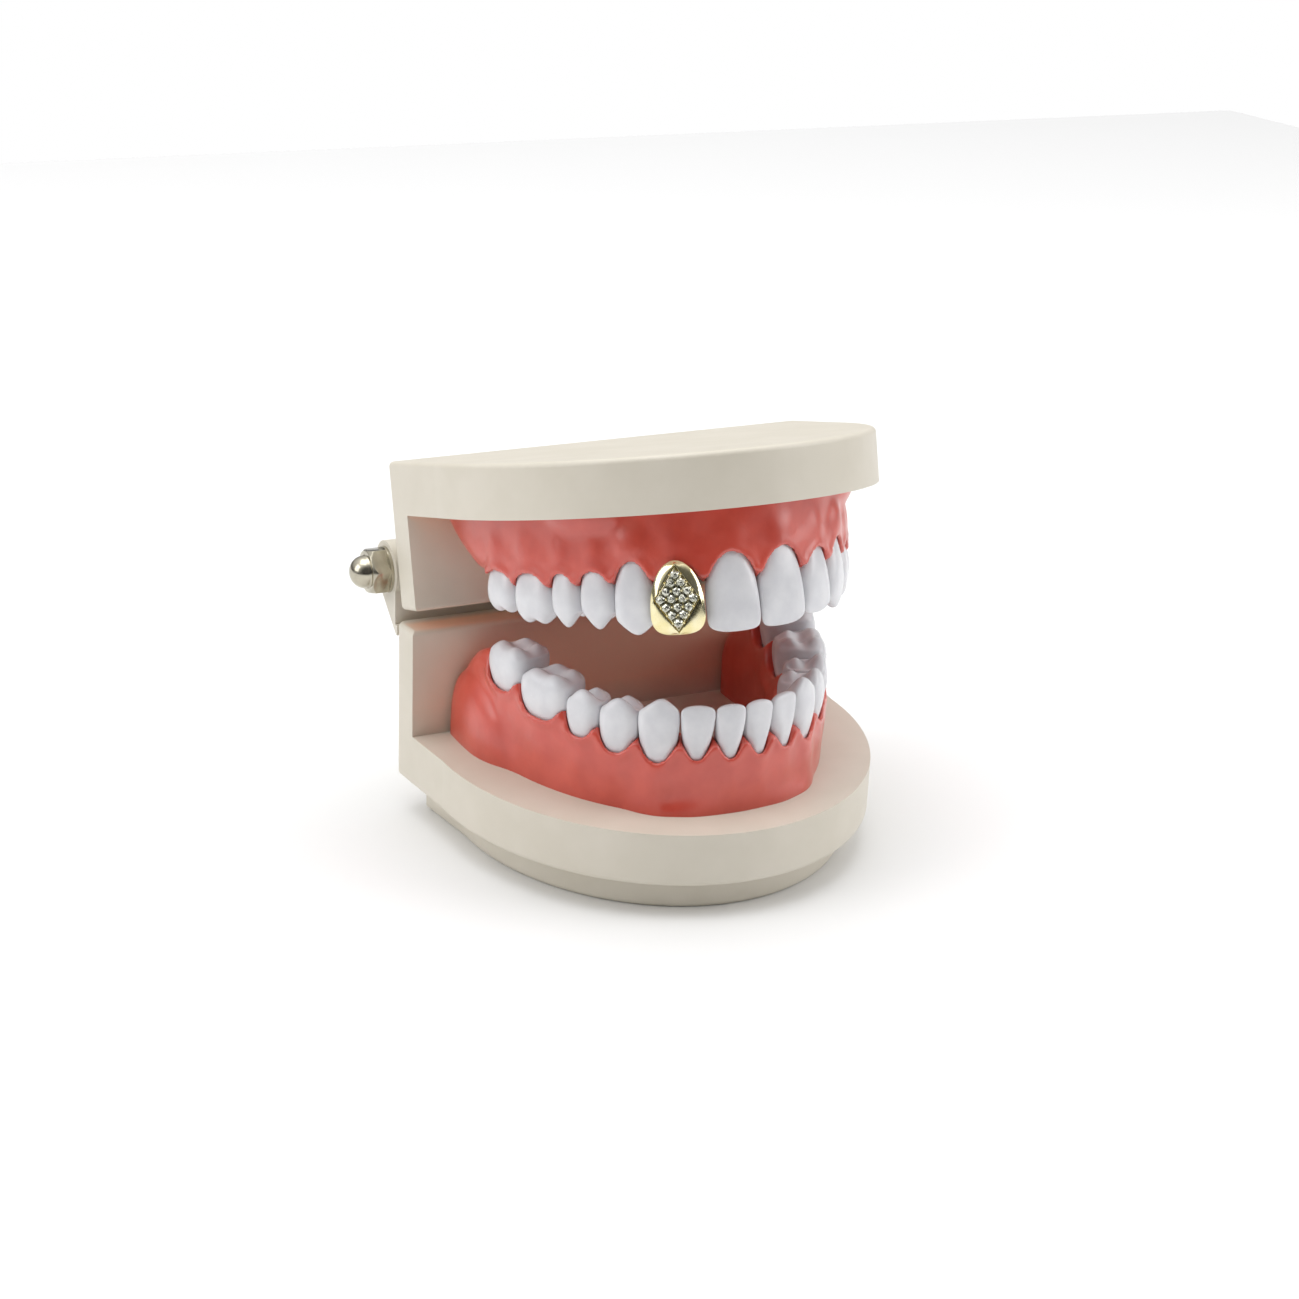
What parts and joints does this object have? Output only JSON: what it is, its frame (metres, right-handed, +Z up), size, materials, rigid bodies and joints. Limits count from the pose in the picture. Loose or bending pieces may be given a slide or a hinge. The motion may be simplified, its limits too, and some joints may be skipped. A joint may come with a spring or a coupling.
{
  "type": "typodont model",
  "caption": "Hinged teaching model of a full set of teeth and gums in a pale D-shaped housing, jaw part open, with a clip-on cap on one front tooth.",
  "frame": {"origin": "centre of the foot's resting face", "axes": "+Z up, the front teeth face -Y, +X to the wearer's left; the hinge rod runs along X at the back"},
  "size_m": [0.0886, 0.0679, 0.0736],
  "materials": {
    "housing": "satin moulded ivory plastic",
    "gum": "glossy coral pink resin",
    "enamel": "polished white resin",
    "nut_plating": "bright nickel plate",
    "hinge_steel": "plain turned steel",
    "screw_steel": "zinc plated",
    "cap_metal": "polished pale gold plate",
    "cap_stone": "clear cut stones"
  },
  "bodies": {
    "lower_half": {"base_foot": "housing", "domed_nut_left": "nut_plating", "domed_nut_right": "nut_plating", "foot_screws": "screw_steel", "hinge_rod": "hinge_steel", "hinge_washer_left": "hinge_steel", "hinge_washer_right": "hinge_steel", "lower_frame": "housing", "lower_gum": "gum", "lower_gum_screws": "screw_steel", "lower_left_canine": "enamel", "lower_left_central_incisor": "enamel", "lower_left_first_molar": "enamel", "lower_left_first_premolar": "enamel", "lower_left_lateral_incisor": "enamel", "lower_left_second_molar": "enamel", "lower_left_second_premolar": "enamel", "lower_right_canine": "enamel", "lower_right_central_incisor": "enamel", "lower_right_first_molar": "enamel", "lower_right_first_premolar": "enamel", "lower_right_lateral_incisor": "enamel", "lower_right_second_molar": "enamel", "lower_right_second_premolar": "enamel"},
    "upper_half": {"upper_frame": "housing", "upper_gum": "gum", "upper_gum_screws": "screw_steel", "upper_left_canine": "enamel", "upper_left_central_incisor": "enamel", "upper_left_first_molar": "enamel", "upper_left_first_premolar": "enamel", "upper_left_lateral_incisor": "enamel", "upper_left_second_molar": "enamel", "upper_left_second_premolar": "enamel", "upper_right_canine": "enamel", "upper_right_central_incisor": "enamel", "upper_right_first_molar": "enamel", "upper_right_first_premolar": "enamel", "upper_right_lateral_incisor": "enamel", "upper_right_second_molar": "enamel", "upper_right_second_premolar": "enamel"},
    "tooth_cap": {"gold_tooth_cap": "cap_metal", "cap_stones": "cap_stone"}
  },
  "joints": [
    {"name": "jaw_hinge", "type": "hinge", "parent": "lower_half", "child": "upper_half", "pos_m": [0, 0.0338, 0.0403], "axis": [-1, 0, 0], "range_deg": [-15, 60]},
    {"name": "cap_slide", "type": "slide", "parent": "upper_half", "child": "tooth_cap", "axis": [-0.4867, -0.8438, 0.2261], "range_m": [0, 0.012]}
  ]
}
